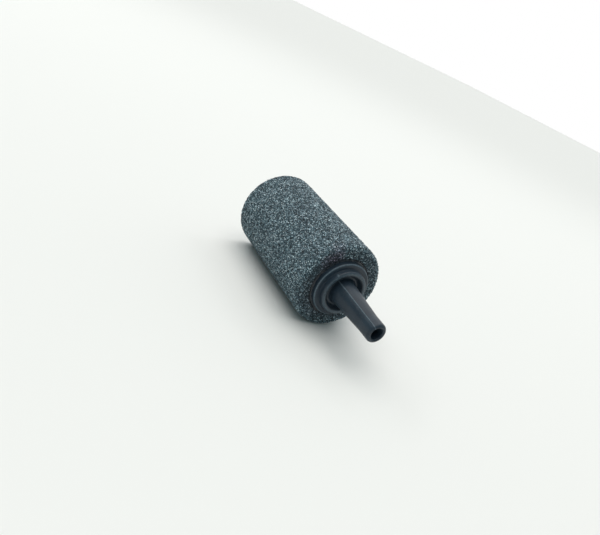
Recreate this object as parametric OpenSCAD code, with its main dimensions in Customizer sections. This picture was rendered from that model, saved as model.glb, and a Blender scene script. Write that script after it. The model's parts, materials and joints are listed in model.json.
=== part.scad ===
// Air stone lying on its side: a porous bonded-mineral cylinder with a moulded hose nozzle glued into its open end.
// The axis of the stone runs along +X, towards the nozzle. The stone rests on z = 0, and the origin is under its middle.

/* [Stone] */
// Length of the porous cylinder
stone_length = 30; // [22:0.5:60]
// Diameter of the porous cylinder
stone_diameter = 18.2; // [15:0.1:40]
// Rounding of the cylinder's two outer edges
stone_edge_round = 0.8; // [0.2:0.1:1.4]
// Diameter of the moulded air bore that feeds the pores
air_bore_diameter = 6.6; // [5.4:0.1:9]
// Thickness of solid stone left at the closed end
closed_end_wall = 5; // [2:0.5:12]

/* [Nozzle fitting] */
// Diameter of the flange that closes the open end
flange_diameter = 11.6; // [9.8:0.1:14.4]
// Depth that the flange is let into the stone
flange_inset = 1.6; // [0.8:0.1:4]
// Height of the flange's face above the stone's end
flange_stand = 1; // [0.3:0.1:3]
// Rounding of the flange's outer rim
flange_rim_round = 0.35; // [0.1:0.05:0.6]
// Width of the flat ledge between the rim and the raised collar
ledge_width = 1.1; // [0.7:0.1:1.6]
// Height of the collar above the flange's face
collar_height = 1.1; // [0.5:0.1:4]
// Wall thickness of the collar, whose crest is fully rounded
collar_wall = 0.8; // [0.4:0.1:1.2]
// Depth of the cup around the nozzle's root, below the collar's crest
cup_depth = 1.1; // [0.8:0.1:2.4]
// Share of the cup's width taken up by its sloping wall
cup_slope_share = 0.6; // [0.1:0.05:0.9]
// Fillet where the nozzle rises from the cup's floor
root_fillet = 0.3; // [0.1:0.05:0.45]
// Distance from the stone's end to the nozzle's tip
nozzle_reach = 14; // [10:0.5:30]
// Diameter of the nozzle at its root
nozzle_root_diameter = 5.2; // [4.4:0.1:6.4]
// Diameter of the straight land that the hose grips
nozzle_tip_diameter = 4; // [3.2:0.1:5]
// Length of the straight land behind the rounded tip
nozzle_land_length = 2.5; // [1:0.1:5]
// Rounding of the nozzle's tip
tip_round = 0.6; // [0.1:0.05:0.65]
// Diameter of the air passage through the whole fitting
passage_diameter = 2.4; // [1.2:0.1:2.9]
// Length of the spigot below the flange
spigot_length = 7; // [3:0.5:12]
// Lead-in chamfer at the spigot's inner end
spigot_chamfer = 0.4; // [0.1:0.05:0.8]

/* [Adhesive] */
// Gap between the fitting and the stone, filled with adhesive
glue_gap = 0.3; // [0.1:0.05:0.6]
// Depth of the dry groove left around the flange, above the adhesive
glue_recess = 0.5; // [0.2:0.05:1]
// Length of the adhesive sleeve around the spigot
glue_sleeve_length = 4; // [1:0.5:6]

/* [Hidden] */
$fn = 96;
// Straight pieces in each rounded edge of an outline
ARC_STEPS = 6;
// Extra length that a cutter runs past the faces it opens
CUT = 1;

stone_radius = stone_diameter / 2;
bore_radius = air_bore_diameter / 2;
flange_radius = flange_diameter / 2;
spigot_radius = bore_radius - glue_gap;
seat_radius = flange_radius + glue_gap;
seat_depth = flange_inset + glue_gap;
spigot_end = -flange_inset - spigot_length;
collar_radius = flange_radius - ledge_width;
crest_round = collar_wall / 2;
cup_radius = collar_radius - collar_wall;
crest_height = flange_stand + collar_height;
cup_floor = crest_height - cup_depth;
root_radius = nozzle_root_diameter / 2;
cup_floor_radius = cup_radius - cup_slope_share * (cup_radius - root_radius - root_fillet);
tip_radius = nozzle_tip_diameter / 2;
land_end = nozzle_reach - tip_round;
land_start = land_end - nozzle_land_length;
overall_length = stone_length + nozzle_reach;
// Place of the stone's open end along X, with the whole object centred on the origin
stone_face = overall_length / 2 - nozzle_reach;

// Points of an arc about [radius, height], turning evenly from one angle to another
function arc(centre, r, from, to) =
    [for (i = [0:ARC_STEPS]) centre + r * [cos(from + (to - from) * i / ARC_STEPS),
                                           sin(from + (to - from) * i / ARC_STEPS)]];

// Places a shape that was turned about +Z, with the stone's open end at height 0, along the object's own axis
module along_axis() {
    translate([stone_face, 0, stone_radius])
        rotate([0, 90, 0])
            children();
}

// Outline of the solid stone before its bore and seat are opened, as [radius, height]
function stone_outline() = concat(
    [[0, -stone_length]],
    arc([stone_radius - stone_edge_round, -stone_length + stone_edge_round], stone_edge_round, -90, 0),
    arc([stone_radius - stone_edge_round, -stone_edge_round], stone_edge_round, 0, 90),
    [[0, 0]]
);

// Porous cylinder: a blind air bore along the axis, and a wider seat for the flange at the open end
module stone_body() {
    color([0.34, 0.39, 0.43])
    along_axis()
        difference() {
            rotate_extrude()
                polygon(stone_outline());
            translate([0, 0, closed_end_wall - stone_length])
                cylinder(r = bore_radius, h = stone_length - closed_end_wall + CUT);
            translate([0, 0, -seat_depth])
                cylinder(r = seat_radius, h = seat_depth + CUT);
        }
}

// Outline of the fitting, from the spigot's inner end out to the nozzle's tip, as [radius, height]
function fitting_outline() = concat(
    [[0, spigot_end],
     [spigot_radius - spigot_chamfer, spigot_end],
     [spigot_radius, spigot_end + spigot_chamfer],
     [spigot_radius, -flange_inset],
     [flange_radius, -flange_inset]],
    arc([flange_radius - flange_rim_round, flange_stand - flange_rim_round], flange_rim_round, 0, 90),
    [[collar_radius, flange_stand]],
    arc([collar_radius - crest_round, crest_height - crest_round], crest_round, 0, 180),
    [[cup_floor_radius, cup_floor]],
    arc([root_radius + root_fillet, cup_floor + root_fillet], root_fillet, 270, 180),
    [[tip_radius, land_start]],
    arc([tip_radius - tip_round, land_end], tip_round, 0, 90),
    [[0, nozzle_reach]]
);

// Moulded fitting: spigot, flange, raised collar with a cup inside it, and the tapered hose nozzle
module nozzle_fitting() {
    color([0.13, 0.14, 0.17])
    along_axis()
        difference() {
            rotate_extrude()
                polygon(fitting_outline());
            translate([0, 0, spigot_end - CUT])
                cylinder(r = passage_diameter / 2, h = nozzle_reach - spigot_end + 2 * CUT);
        }
}

// Outline of the adhesive: a sleeve on the spigot, a layer under the flange and a ring around its edge
function glue_outline() = [
    [spigot_radius, -seat_depth - glue_sleeve_length],
    [bore_radius, -seat_depth - glue_sleeve_length],
    [bore_radius, -seat_depth],
    [seat_radius, -seat_depth],
    [seat_radius, -glue_recess],
    [flange_radius, -glue_recess],
    [flange_radius, -flange_inset],
    [spigot_radius, -flange_inset]
];

// Adhesive that bonds the fitting into the stone and makes the joint airtight
module adhesive_seal() {
    color([0.33, 0.29, 0.32])
    along_axis()
        rotate_extrude()
            polygon(glue_outline());
}

stone_body();
nozzle_fitting();
adhesive_seal();
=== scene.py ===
import json
import math

import bpy
import numpy as np
from mathutils import Matrix, Vector, noise


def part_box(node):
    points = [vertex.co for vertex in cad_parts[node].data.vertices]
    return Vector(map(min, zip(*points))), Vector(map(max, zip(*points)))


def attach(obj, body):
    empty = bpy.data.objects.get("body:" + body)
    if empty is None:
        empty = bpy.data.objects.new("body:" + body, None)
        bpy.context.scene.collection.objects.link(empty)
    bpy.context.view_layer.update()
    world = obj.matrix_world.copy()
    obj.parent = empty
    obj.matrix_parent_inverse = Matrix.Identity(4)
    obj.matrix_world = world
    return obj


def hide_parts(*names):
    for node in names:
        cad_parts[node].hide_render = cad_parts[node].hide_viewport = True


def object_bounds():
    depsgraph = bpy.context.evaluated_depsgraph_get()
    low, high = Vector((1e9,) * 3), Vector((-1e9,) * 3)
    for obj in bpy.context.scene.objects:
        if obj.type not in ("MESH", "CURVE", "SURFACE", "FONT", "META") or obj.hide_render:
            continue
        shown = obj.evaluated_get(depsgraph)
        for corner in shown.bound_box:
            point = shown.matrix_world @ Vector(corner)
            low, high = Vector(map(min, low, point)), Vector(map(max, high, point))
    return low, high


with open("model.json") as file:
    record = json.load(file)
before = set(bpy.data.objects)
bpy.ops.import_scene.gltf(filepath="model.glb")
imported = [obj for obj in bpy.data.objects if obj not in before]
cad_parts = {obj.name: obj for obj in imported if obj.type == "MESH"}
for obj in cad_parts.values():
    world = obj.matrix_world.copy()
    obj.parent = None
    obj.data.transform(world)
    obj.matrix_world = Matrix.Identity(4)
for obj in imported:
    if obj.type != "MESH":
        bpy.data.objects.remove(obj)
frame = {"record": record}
cad_low, cad_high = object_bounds()

# ---- Camera ----
# A close, slightly raised view from the nozzle's side. The camera is turned about its own line of sight,
# so the stone lies across the picture with its nozzle pointing down to the right.
stone_low, stone_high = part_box("stone_body")
stone_centre = (stone_low + stone_high) / 2
view_azimuth = math.radians(52.03)
view_elevation = math.radians(21.06)
view_turn = math.radians(26.5)
view_distance = 0.1211
view_back = Vector((
    math.sin(view_azimuth) * math.cos(view_elevation),
    -math.cos(view_azimuth) * math.cos(view_elevation),
    math.sin(view_elevation),
))
camera_data = bpy.data.cameras.new("studio_camera")
camera_data.sensor_width = 36.0
camera_data.lens = 34.94
camera_data.shift_x = -0.009
camera_data.shift_y = -0.037
camera_data.clip_start = 0.005
camera_data.clip_end = 20.0
camera = bpy.data.objects.new("studio_camera", camera_data)
camera.rotation_mode = "QUATERNION"
camera.location = stone_centre + view_back * view_distance
level = (-view_back).to_track_quat("-Z", "Y")
camera.rotation_quaternion = level @ Matrix.Rotation(view_turn, 3, "Z").to_quaternion()
bpy.context.scene.collection.objects.link(camera)
bpy.context.scene.camera = camera

# ---- Floor ----
# A sheet of matte, warm white card, much larger than the view.
floor_reach = 3.0
floor_mesh = bpy.data.meshes.new("floor_card")
floor_mesh.from_pydata(
    [(-floor_reach, -floor_reach, 0), (floor_reach, -floor_reach, 0),
     (floor_reach, floor_reach, 0), (-floor_reach, floor_reach, 0)],
    [], [(0, 1, 2, 3)],
)
floor = bpy.data.objects.new("floor_card", floor_mesh)
floor.location.z = cad_low.z
bpy.context.scene.collection.objects.link(floor)
card = bpy.data.materials.new("matte_card")
card.use_nodes = True
card_shader = card.node_tree.nodes["Principled BSDF"]
card_shader.inputs["Base Color"].default_value = (0.825, 0.835, 0.82, 1)
card_shader.inputs["Roughness"].default_value = 0.9
card_shader.inputs["Specular IOR Level"].default_value = 0.1
floor_mesh.materials.append(card)

# ---- Light ----
# One broad soft light, almost overhead, and a pale dome that is brightest behind the object and dimmest
# behind the camera, as in a white tent that is open towards the camera. Two thin strip lights on the far
# side draw the fine lines of light along the nozzle and on the rim of the flange.
key_data = bpy.data.lights.new("soft_key", "SUN")
key_data.energy = 1.85
key_data.color = (1.0, 0.940, 0.900)
key_data.angle = math.radians(68)
key = bpy.data.objects.new("soft_key", key_data)
to_key = Vector((-0.08, -0.16, 1)).normalized()
key.rotation_mode = "QUATERNION"
key.rotation_quaternion = to_key.to_track_quat("Z", "Y")
bpy.context.scene.collection.objects.link(key)

world = bpy.data.worlds.new("light_tent")
world.use_nodes = True
bpy.context.scene.world = world
sky_nodes = world.node_tree.nodes
sky_links = world.node_tree.links
sky_place = sky_nodes.new("ShaderNodeTexCoord")
sky_towards = sky_nodes.new("ShaderNodeVectorMath")
sky_towards.operation = "DOT_PRODUCT"
sky_towards.inputs[1].default_value = (-math.sin(view_azimuth), math.cos(view_azimuth), 0)
sky_range = sky_nodes.new("ShaderNodeMapRange")
sky_range.inputs["From Min"].default_value = -1
sky_ramp = sky_nodes.new("ShaderNodeValToRGB")
sky_links.new(sky_place.outputs["Generated"], sky_towards.inputs[0])
sky_links.new(sky_towards.outputs["Value"], sky_range.inputs["Value"])
sky_links.new(sky_range.outputs["Result"], sky_ramp.inputs["Fac"])
sky_ramp.color_ramp.elements[0].position = 0.10
sky_ramp.color_ramp.elements[0].color = (0.218, 0.258, 0.264, 1)
sky_ramp.color_ramp.elements[1].position = 0.92
sky_ramp.color_ramp.elements[1].color = (1.0, 1.0, 1.0, 1)
sky_overhead = sky_ramp.color_ramp.elements.new(0.50)
sky_overhead.color = (0.248, 0.332, 0.337, 1)
sky_links.new(sky_ramp.outputs["Color"], sky_nodes["Background"].inputs["Color"])
bpy.context.scene.view_settings.view_transform = "Standard"

strip_length = 0.30
strip_width = 0.03
strip_distance = 0.45
for side, to_strip, energy in (
    ("left", Vector((-0.736, -0.318, 0.597)), 0.16),
    ("right", Vector((-0.33, 0.57, 0.75)), 0.15),
):
    strip_data = bpy.data.lights.new("strip_light_" + side, "AREA")
    strip_data.shape = "RECTANGLE"
    strip_data.size = strip_length
    strip_data.size_y = strip_width
    strip_data.energy = energy
    strip = bpy.data.objects.new("strip_light_" + side, strip_data)
    strip.location = stone_centre + to_strip.normalized() * strip_distance
    strip.rotation_mode = "QUATERNION"
    strip.rotation_quaternion = to_strip.to_track_quat("Z", "Y")
    bpy.context.scene.collection.objects.link(strip)

# ---- Porous stone ----
# Crushed mineral grain, pressed round a core pin in a mould and bonded with a little resin, so that the
# faces are rough with grain and pitted with pores. The pin leaves the air bore, and the wider seat at
# the open end takes the fitting. Adhesive has soaked into the grains next to the seat and darkened them,
# and painted shade darkens the rest of the open end, most towards its lower near side.
axis_height = stone_centre.z
stone_face = stone_high.x
axis_point = 0.0001
stone_radius = (stone_high.y - stone_low.y) / 2
edge_round = 0.0010
seat_low, seat_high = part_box("adhesive_seal")
seat_radius = (seat_high.y - seat_low.y) / 2
seat_depth = 0.0019
bore_radius = 0.0033
closed_end_wall = 0.005
seat_rim_round = 0.0003
seat_corner_round = 0.0001
bore_round = 0.0005
inner_pitch = 0.0012
grain_size = 0.00028
grain_pitch = 0.000165
grain_columns = 352
fewest_columns = 11


def rounded(corners, rounds):
    """Points [x, r] of an outline whose inner corners are rounded to the given radii."""
    path = [np.array(corners[0])]
    for before, corner, after, radius in zip(corners, corners[1:], corners[2:], rounds):
        inward = (np.array(before) - corner) / np.linalg.norm(np.array(before) - corner)
        outward = (np.array(after) - corner) / np.linalg.norm(np.array(after) - corner)
        half_turn = math.acos(float(inward @ outward)) / 2
        setback = radius / math.tan(half_turn)
        middle = np.array(corner) + (inward + outward) * setback / 2 / math.cos(half_turn) ** 2
        start = corner + inward * setback - middle
        end = corner + outward * setback - middle
        for swing in np.linspace(0, math.pi / 2 - half_turn, 5):
            path.append(middle + start * math.cos(swing) + swing_side(start, end) * math.sin(swing))
        for swing in np.linspace(math.pi / 2 - half_turn, 0, 5)[1:]:
            path.append(middle + end * math.cos(swing) + swing_side(end, start) * math.sin(swing))
    path.append(np.array(corners[-1]))
    return np.array(path)


def swing_side(arm, other):
    """Vector as long as the arm, square to it and on the side of the other arm."""
    side = np.array((-arm[1], arm[0]))
    return side if side @ other > 0 else -side


def evenly(path, pitch):
    """The same outline with its points moved to an even spacing."""
    travelled = np.concatenate([[0], np.cumsum(np.linalg.norm(np.diff(path, axis=0), axis=1))])
    stations = np.linspace(0, travelled[-1], max(2, round(travelled[-1] / pitch) + 1))
    return np.stack([np.interp(stations, travelled, path[:, i]) for i in (0, 1)], 1)


outer_skin = evenly(rounded(
    [(stone_low.x, axis_point), (stone_low.x, stone_radius), (stone_face, stone_radius),
     (stone_face, seat_radius), (stone_face - seat_depth, seat_radius)],
    [edge_round, edge_round, seat_rim_round]), grain_pitch)
inner_skin = evenly(rounded(
    [(stone_face - seat_depth, seat_radius), (stone_face - seat_depth, bore_radius),
     (stone_low.x + closed_end_wall, bore_radius), (stone_low.x + closed_end_wall, axis_point)],
    [seat_corner_round, bore_round]), inner_pitch)
stone_outline = np.concatenate([outer_skin, inner_skin[1:]])


def columns_at(radius):
    """How many points a ring of the stone has, halved towards the axis so that they stay evenly spaced."""
    columns = grain_columns
    while columns > fewest_columns and columns * grain_pitch / 2 > 2 * math.pi * radius:
        columns //= 2
    return columns


def stone_rings(outline):
    """Vertices, their outward normals and the faces between rings of the turned outline."""
    points, normals, faces, starts = [], [], [], []
    along = np.gradient(outline, axis=0)
    along /= np.linalg.norm(along, axis=1)[:, None]
    for (x, r), (dx, dr) in zip(outline, along):
        columns = columns_at(r)
        starts.append((len(points), columns))
        for turn in np.arange(columns) * (2 * math.pi / columns):
            points.append((x, r * math.cos(turn), r * math.sin(turn)))
            normals.append((-dr, dx * math.cos(turn), dx * math.sin(turn)))
    for (first, many), (second, few) in zip(starts, starts[1:]):
        flip = few > many
        if flip:
            (first, many), (second, few) = (second, few), (first, many)
        step = many // few
        for j in range(few):
            near, nearer = second + j, second + (j + 1) % few
            if step == 1:
                ring = [(first + j, first + (j + 1) % many, nearer, near)]
            else:
                outer = [first + (2 * j + k) % many for k in range(3)]
                ring = [(outer[0], outer[1], near), (outer[1], outer[2], nearer, near)]
            faces += [face[::-1] for face in ring] if flip else ring
    for (first, columns), end in ((starts[0], 0), (starts[-1], 1)):
        ring = tuple(range(first, first + columns))
        faces.append(ring if end else ring[::-1])
    return np.array(points), np.array(normals), faces


# How far the grains are moved sideways, how far they stand proud or sunk, the crevices, how much painted
# shade darkens the grains in them, and the pits
grain_shift = 0.28 * grain_pitch
grain_step = 0.00009
crevice_depth = 0.00008
crevice_share = 0.4
crevice_shade = 0.55
fine_relief = 0.000038
pit_depth = 0.00013
pit_share = 0.05
skin_inset = 0.00003
# Painted highlight: paler grain along the outer edge of the open end, where the rounded edge catches the
# light
edge_highlight_width = 0.0012
edge_highlight_tint = 0.5
# Adhesive soaked into the grains next to the seat: its least reach and how unevenly it spread. Painted shade
# on
# the open end: how much further the dark ring reaches towards the lower near side, which faces away from the
# light, which way that side lies, how dark it makes the rest of the end, the size of the uneven patches, and
# the margin at the outer edge that the painted shade leaves out
soak_reach = 0.0009
soak_spread = 0.0016
shade_run = 0.0018
shade_turn = math.radians(225)
thin_shade = 0.55
patch_size = 0.0028
unshaded_rim = 0.0006
stain_turn = math.radians(124)
stain_radius = 0.0068
stain_size = 0.0036
stain_centre = Vector((stone_face, stain_radius * math.cos(stain_turn), stain_radius * math.sin(stain_turn)))

points, normals, faces = stone_rings(stone_outline)
scatter = np.random.default_rng(7)
visible = np.arange(len(points)) < sum(columns_at(r) for x, r in outer_skin)
sideways = scatter.normal(0, grain_shift, points.shape)
sideways -= (sideways * normals).sum(1)[:, None] * normals
relief = np.zeros(len(points))
tone_shade_highlight = np.zeros(len(points))
soak_and_shade = np.zeros(len(points))
stain = np.zeros(len(points))
for i, p in enumerate(points):
    if not visible[i]:
        continue
    distances, seeds = noise.voronoi(Vector(p) / grain_size)
    lot = noise.cell_vector(seeds[0] * 9.7)
    crevice = 1 - min(1.0, (distances[1] - distances[0]) / crevice_share)
    relief[i] = (lot.x - 0.5) * grain_step - crevice * crevice_depth
    from_axis = math.hypot(p[1], p[2])
    # Painted highlight: grains near the outer edge of the open end are made paler
    edge_highlight = max(0.0, 1 - math.hypot(stone_face - p[0], stone_radius - from_axis) / edge_highlight_width)
    # Random grain tone, darkened by painted shade in the crevices between grains
    tone_shade_highlight[i] = min(1.0, lot.y * (1 - crevice_shade * crevice) + edge_highlight_tint * edge_highlight)
    ring_gap = from_axis - seat_radius
    patch = noise.noise(Vector((0, p[1], p[2])) / patch_size + Vector((4.1, 2.3, 0)))
    # Painted shade: the dark ring reaches further towards the lower near side of the end, and thin painted
    # shade covers the rest of the end inside the outer margin
    lean = math.cos(math.atan2(p[2], p[1]) - shade_turn)
    reach = soak_reach + soak_spread * max(-0.3, patch) + shade_run * max(0.0, lean)
    stain[i] = max(0.0, 1 - (Vector(p) - stain_centre).length / (stain_size * (1 + 1.2 * patch)))
    inside_rim = min(1.0, max(0.0, (stone_radius - seat_radius - unshaded_rim - ring_gap) / unshaded_rim))
    if p[0] > stone_face - seat_depth:
        soak_and_shade[i] = min(1.0, max(thin_shade * inside_rim, 1.2 - ring_gap / reach))
relief += np.where(visible, scatter.normal(0, fine_relief, len(points)), 0)
pits = visible & (scatter.random(len(points)) < pit_share)
relief[pits] -= pit_depth
tone_shade_highlight = np.clip(0.6 * tone_shade_highlight + 0.4 * scatter.random(len(points)), 0, 1)
# Painted shade: the grains in the pits are darkened
tone_shade_highlight[pits] *= 0.4
points = points + sideways * visible[:, None] + normals * (relief - skin_inset)[:, None]
points[:, 2] += axis_height

stone_mesh = bpy.data.meshes.new("porous_stone")
stone_mesh.from_pydata(points.tolist(), [], faces)
stone_mesh.update()
for name, values in (("grain_tone_shade_highlight", tone_shade_highlight), ("resin_soak_and_shade", soak_and_shade), ("resin_stain", stain)):
    layer = stone_mesh.attributes.new(name, "FLOAT", "POINT")
    layer.data.foreach_set("value", values.astype(np.float32))
stone = bpy.data.objects.new("porous_stone", stone_mesh)
bpy.context.scene.collection.objects.link(stone)


def node(tree, kind, **values):
    """Adds a node and sets its input sockets, named with underscores, or its properties."""
    made = tree.nodes.new(kind)
    for name, value in values.items():
        if hasattr(made, name):
            setattr(made, name, value)
        else:
            made.inputs[name.replace("_", " ")].default_value = value
    return made


def ramp_node(tree, source, *stops):
    """Colour ramp fed by a socket, with stops of (position, colour)."""
    made = node(tree, "ShaderNodeValToRGB")
    elements = made.color_ramp.elements
    while len(elements) < len(stops):
        elements.new(0.5)
    for element, (position, colour) in zip(elements, stops):
        element.position = position
        element.color = (*colour, 1)
    tree.links.new(source, made.inputs["Fac"])
    return made.outputs["Color"]


def mixed(tree, blend, amount, first, second):
    """Mixes two colours or grey values; the amount is a number or a socket."""
    made = node(tree, "ShaderNodeMix", data_type="RGBA", blend_type=blend)
    if isinstance(amount, float):
        made.inputs["Factor"].default_value = amount
    else:
        tree.links.new(amount, made.inputs["Factor"])
    for socket, value in ((made.inputs["A"], first), (made.inputs["B"], second)):
        if isinstance(value, tuple):
            socket.default_value = (*value, 1)
        else:
            tree.links.new(value, socket)
    return made.outputs["Result"]


# Sizes of the dark and light grains, of the chips on them and of the pale specks, which are partly pale
# grain and partly painted glint
grain_cell = 0.00019
chip_cell = 0.00010
speck_glint_cell = 0.00016
bonded = bpy.data.materials.new("bonded_mineral")
bonded.use_nodes = True
tree = bonded.node_tree
shader = tree.nodes["Principled BSDF"]
place = node(tree, "ShaderNodeTexCoord").outputs["Object"]
tone_shade_highlight_read = node(tree, "ShaderNodeAttribute", attribute_name="grain_tone_shade_highlight")
soak_and_shade_read = node(tree, "ShaderNodeAttribute", attribute_name="resin_soak_and_shade")
stain_read = node(tree, "ShaderNodeAttribute", attribute_name="resin_stain")
grains = node(tree, "ShaderNodeTexVoronoi", Scale=1 / grain_cell)
chips = node(tree, "ShaderNodeTexVoronoi", Scale=1 / chip_cell)
specks_and_glints = node(tree, "ShaderNodeTexVoronoi", Scale=1 / speck_glint_cell)
mottle = node(tree, "ShaderNodeTexNoise", Scale=260.0, Detail=3.0)
for texture in (grains, chips, specks_and_glints, mottle):
    tree.links.new(place, texture.inputs["Vector"])
grain_lot = node(tree, "ShaderNodeSeparateColor")
tree.links.new(grains.outputs["Color"], grain_lot.inputs[0])
chip_lot = node(tree, "ShaderNodeSeparateColor")
tree.links.new(chips.outputs["Color"], chip_lot.inputs[0])
lots = mixed(tree, "MIX", 0.22, grain_lot.outputs["Red"], chip_lot.outputs["Green"])
# The grain attribute adds random tone, painted shade in crevices and pits, and the painted edge highlight
lots = mixed(tree, "MIX", 0.17, lots, tone_shade_highlight_read.outputs["Fac"])
grain_colour = ramp_node(
    tree, lots,
    (0.16, (0.005, 0.012, 0.016)), (0.44, (0.029, 0.060, 0.078)), (0.64, (0.071, 0.133, 0.165)),
    (0.76, (0.19, 0.31, 0.365)), (0.88, (0.62, 0.80, 0.88)),
)
speck_glint_lot = node(tree, "ShaderNodeSeparateColor")
tree.links.new(specks_and_glints.outputs["Color"], speck_glint_lot.inputs[0])
# Near-white specks: partly pale grains, partly painted glints standing in for sparkle
speck_and_glint = ramp_node(tree, speck_glint_lot.outputs["Blue"], (0.93, (0.0, 0.0, 0.0)), (0.955, (1.0, 1.0, 1.0)))
grain_colour = mixed(tree, "MIX", speck_and_glint, grain_colour, (0.74, 0.90, 0.96))
shade = ramp_node(tree, mottle.outputs["Fac"], (0.30, (0.80, 0.80, 0.82)), (0.70, (1.0, 1.0, 1.0)))
grain_colour = mixed(tree, "MULTIPLY", 1.0, grain_colour, shade)
# Adhesive soak next to the seat, and painted shade over the open end
soaked_and_shaded_colour = mixed(tree, "MULTIPLY", 1.0, grain_colour, (0.53, 0.52, 0.55))
grain_colour = mixed(tree, "MIX", soak_and_shade_read.outputs["Fac"], grain_colour, soaked_and_shaded_colour)
stained_colour = mixed(tree, "MULTIPLY", 1.0, grain_colour, (0.84, 0.53, 0.66))
grain_colour = mixed(tree, "MIX", stain_read.outputs["Fac"], grain_colour, stained_colour)
tree.links.new(grain_colour, shader.inputs["Base Color"])
gloss = ramp_node(tree, lots, (0.45, (0.72, 0.72, 0.72)), (0.80, (0.34, 0.34, 0.34)))
tree.links.new(gloss, shader.inputs["Roughness"])
bump = node(tree, "ShaderNodeBump", Strength=0.8, Distance=0.00007)
tree.links.new(chips.outputs["Distance"], bump.inputs["Height"])
tree.links.new(bump.outputs["Normal"], shader.inputs["Normal"])
stone_mesh.materials.append(bonded)
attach(stone, "root")
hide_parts("stone_body")

# ---- Nozzle fitting ----
# One injection moulding in black plastic: a spigot and a flange that sit in the stone, a raised collar with
# a cup inside it, and the tapered nozzle that the hose is pushed on. Two fine parting lines run along it.
fitting_low, fitting_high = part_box("nozzle_fitting")
mount_sizes = {mount["name"]: mount["dims"] for mount in frame["record"]["mounts"]}
flange_radius = (fitting_high.y - fitting_low.y) / 2
passage_radius = mount_sizes["air_passage"]["r_mm"] / 1000
tip_radius = mount_sizes["hose_nozzle"]["r_mm"] / 1000
land_length = mount_sizes["hose_nozzle"]["length_mm"] / 1000
tip_round = 0.0006
spigot_radius = 0.0030
spigot_end = fitting_low.x - stone_face
spigot_chamfer = 0.0004
nozzle_tip = fitting_high.x - stone_face
land_start = nozzle_tip - tip_round - land_length
flange_back = -0.0016
flange_front = 0.0010
collar_radius = flange_radius - 0.0011
cup_radius = collar_radius - 0.0008
crest_height = 0.0021
cup_floor = crest_height - 0.0011
cup_floor_radius = cup_radius - 0.0006
root_radius = 0.00263
# Each corner of the turned outline, as distance from the stone's end, radius and rounding
fitting_outline = [
    (spigot_end, passage_radius, 0.0001),
    (spigot_end, spigot_radius - spigot_chamfer, 0.0001),
    (spigot_end + spigot_chamfer, spigot_radius, 0.0001),
    (flange_back, spigot_radius, 0.0002),
    (flange_back, flange_radius, 0.0002),
    (flange_front, flange_radius, 0.0003),
    (flange_front, collar_radius, 0.00015),
    (crest_height, collar_radius, 0.00038),
    (crest_height, cup_radius, 0.00032),
    (cup_floor, cup_floor_radius, 0.0003),
    (cup_floor, root_radius, 0.0005),
    (land_start, tip_radius, 0.004),
    (nozzle_tip, tip_radius, 0.00055),
    (nozzle_tip, passage_radius, 0.0003),
]
# The outline starts and ends at one point, in the middle of the passage
passage_middle = (0.0, passage_radius)
fitting_corners = [passage_middle, *((x, r) for x, r, rounding in fitting_outline), passage_middle]
fitting_rounds = [rounding for x, r, rounding in fitting_outline]


def turned_loop(name, x, r, turns):
    """Object whose rings have their own x and r for each turn; the last ring joins the first."""
    rings, columns = r.shape
    spots = np.stack([x, r * np.cos(turns), axis_height + r * np.sin(turns)], -1).reshape(-1, 3)
    index = np.arange(rings * columns).reshape(rings, columns)
    beside = np.roll(index, -1, 1)
    ahead = np.roll(index, -1, 0)
    corner = np.roll(beside, -1, 0)
    quads = np.stack([index, beside, corner, ahead], -1).reshape(-1, 4)
    mesh = bpy.data.meshes.new(name)
    mesh.from_pydata(spots.tolist(), [], quads.tolist())
    mesh.polygons.foreach_set("use_smooth", [True] * len(mesh.polygons))
    mesh.update()
    made = bpy.data.objects.new(name, mesh)
    bpy.context.scene.collection.objects.link(made)
    return made


fitting_path = rounded(fitting_corners, fitting_rounds)[:-1]
parting_turn = math.radians(133)
parting_width = math.radians(2.4)
parting_height = 0.00005
# Painted highlights: a lighter colour on the rounded rim of the flange, on the crest of the collar and along
# the two parting lines, where light catches them
rim_highlight_width = 0.00014
crest_highlight_width = 0.00025
edge_margin = 0.0002
rim_inset = 0.0001
crest_middle = (collar_radius + cup_radius) / 2
fine_turns = parting_turn + parting_width * np.linspace(-2.5, 2.5, 11)
fitting_turns = np.sort(np.concatenate([
    np.arange(0, 2 * math.pi, math.radians(1.8)), fine_turns, fine_turns + math.pi]) % (2 * math.pi))
from_parting = (fitting_turns - parting_turn + math.pi / 2) % math.pi - math.pi / 2
parting = np.exp(-(from_parting / parting_width) ** 2)
path_x = fitting_path[:, 0]
path_r = fitting_path[:, 1]
outside = (path_r > passage_radius + edge_margin) & (path_x > flange_front + edge_margin)
fitting_r = path_r[:, None] + outside[:, None] * parting_height * parting
fitting_x = np.repeat((path_x + stone_face)[:, None], len(fitting_turns), 1)
fitting = turned_loop("hose_nozzle_fitting", fitting_x, fitting_r, fitting_turns)
rim_gap = np.hypot(path_x - flange_front + rim_inset, path_r - flange_radius + rim_inset)
crest_gap = np.hypot(path_x - crest_height, path_r - crest_middle)
rim_highlight = 0.9 * np.clip(1.5 - rim_gap / rim_highlight_width, 0, 1)
crest_highlight = 0.6 * np.clip(1.6 - crest_gap / crest_highlight_width, 0, 1)
painted_highlight = np.maximum(rim_highlight, crest_highlight)[:, None]
painted_highlight = np.maximum(painted_highlight, outside[:, None] * parting)
layer = fitting.data.attributes.new("painted_edge_highlight", "FLOAT", "POINT")
layer.data.foreach_set("value", painted_highlight.astype(np.float32).ravel())

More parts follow.
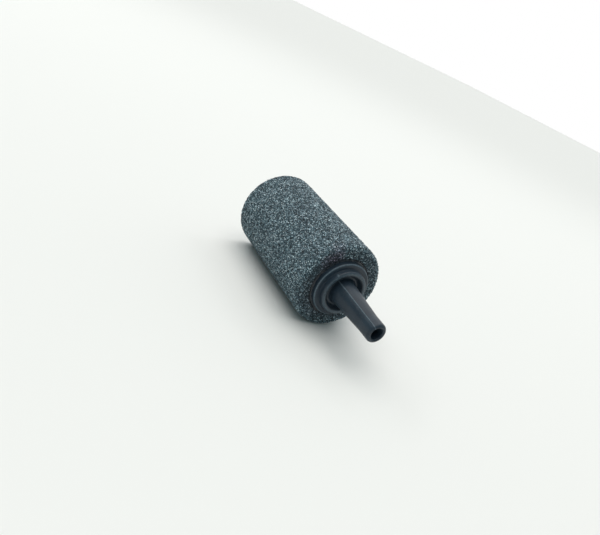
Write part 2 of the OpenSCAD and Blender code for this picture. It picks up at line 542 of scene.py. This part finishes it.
moulded = bpy.data.materials.new("moulded_plastic")
moulded.use_nodes = True
tree = moulded.node_tree
shader = tree.nodes["Principled BSDF"]
place = node(tree, "ShaderNodeTexCoord").outputs["Object"]
flow = node(tree, "ShaderNodeTexNoise", Scale=420.0, Detail=4.0)
scuffs = node(tree, "ShaderNodeTexNoise", Scale=2600.0, Detail=2.0)
texture = node(tree, "ShaderNodeTexNoise", Scale=9000.0, Detail=2.0)
for source in (flow, scuffs, texture):
    tree.links.new(place, source.inputs["Vector"])
colour = ramp_node(tree, flow.outputs["Fac"], (0.30, (0.014, 0.025, 0.038)), (0.70, (0.022, 0.038, 0.056)))
dust = ramp_node(tree, scuffs.outputs["Fac"], (0.60, (0.0, 0.0, 0.0)), (0.78, (0.5, 0.5, 0.5)))
colour = mixed(tree, "MIX", dust, colour, (0.055, 0.070, 0.085))
highlight_read = node(tree, "ShaderNodeAttribute", attribute_name="painted_edge_highlight")
uneven = ramp_node(tree, scuffs.outputs["Fac"], (0.25, (0.35, 0.35, 0.35)), (0.60, (1.0, 1.0, 1.0)))
highlight_amount = mixed(tree, "MULTIPLY", 1.0, highlight_read.outputs["Fac"], uneven)
# Painted highlight colour on the rim, the crest and the parting lines
colour = mixed(tree, "MIX", highlight_amount, colour, (0.100, 0.145, 0.178))
tree.links.new(colour, shader.inputs["Base Color"])
gloss = ramp_node(tree, scuffs.outputs["Fac"], (0.35, (0.30, 0.30, 0.30)), (0.70, (0.42, 0.42, 0.42)))
shader.inputs["Specular IOR Level"].default_value = 0.32
tree.links.new(gloss, shader.inputs["Roughness"])
bump = node(tree, "ShaderNodeBump", Strength=0.25, Distance=0.00002)
tree.links.new(texture.outputs["Fac"], bump.inputs["Height"])
tree.links.new(bump.outputs["Normal"], shader.inputs["Normal"])
fitting.data.materials.append(moulded)
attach(fitting, "root")
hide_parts("nozzle_fitting")

# ---- Adhesive ----
# Dark adhesive that was spread in the seat before the fitting was pressed home. It fills the gap round the
# spigot and under the flange, and the surplus shows as an uneven line in the groove round the flange.
sleeve_end = seat_low.x - stone_face
glue_level = -0.00012
glue_lip = seat_radius + 0.00022
meniscus_height = 0.00016
broad_swell = 0.00030
fine_swell = 0.00010
surface_steps = np.linspace(0, 1, 9)
sleeve_corners = [
    (sleeve_end, spigot_radius), (sleeve_end, bore_radius), (-seat_depth, bore_radius),
    (-seat_depth, seat_radius),
]
glue_path = np.concatenate([
    sleeve_corners,
    [(glue_level, glue_lip + (flange_radius - glue_lip) * t) for t in surface_steps],
    [(flange_back, flange_radius), (flange_back, spigot_radius)],
])
glue_turns = np.arange(0, 2 * math.pi, math.radians(1.2))
surface_start = len(sleeve_corners)
surface = slice(surface_start, surface_start + len(surface_steps))
swell = np.array([
    broad_swell * noise.noise(Vector((math.cos(turn) * 2.2, math.sin(turn) * 2.2, 5.2)))
    + fine_swell * noise.noise(Vector((math.cos(turn) * 9, math.sin(turn) * 9, 1.7)))
    for turn in glue_turns
])
meniscus = meniscus_height * (2 * surface_steps - 1) ** 2
glue_x = np.repeat((glue_path[:, 0] + stone_face)[:, None], len(glue_turns), 1)
glue_x[surface] += meniscus[:, None] + swell
glue_r = np.repeat(glue_path[:, 1][:, None], len(glue_turns), 1)
glue = turned_loop("adhesive_line", glue_x, glue_r, glue_turns)

cured = bpy.data.materials.new("cured_adhesive")
cured.use_nodes = True
tree = cured.node_tree
shader = tree.nodes["Principled BSDF"]
place = node(tree, "ShaderNodeTexCoord").outputs["Object"]
ripple = node(tree, "ShaderNodeTexNoise", Scale=1500.0, Detail=3.0)
tree.links.new(place, ripple.inputs["Vector"])
colour = ramp_node(tree, ripple.outputs["Fac"], (0.35, (0.008, 0.014, 0.021)), (0.70, (0.024, 0.032, 0.043)))
tree.links.new(colour, shader.inputs["Base Color"])
gloss = ramp_node(tree, ripple.outputs["Fac"], (0.35, (0.20, 0.20, 0.20)), (0.70, (0.45, 0.45, 0.45)))
tree.links.new(gloss, shader.inputs["Roughness"])
bump = node(tree, "ShaderNodeBump", Strength=0.4, Distance=0.00005)
tree.links.new(ripple.outputs["Fac"], bump.inputs["Height"])
tree.links.new(bump.outputs["Normal"], shader.inputs["Normal"])
glue.data.materials.append(cured)
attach(glue, "root")
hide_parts("adhesive_seal")
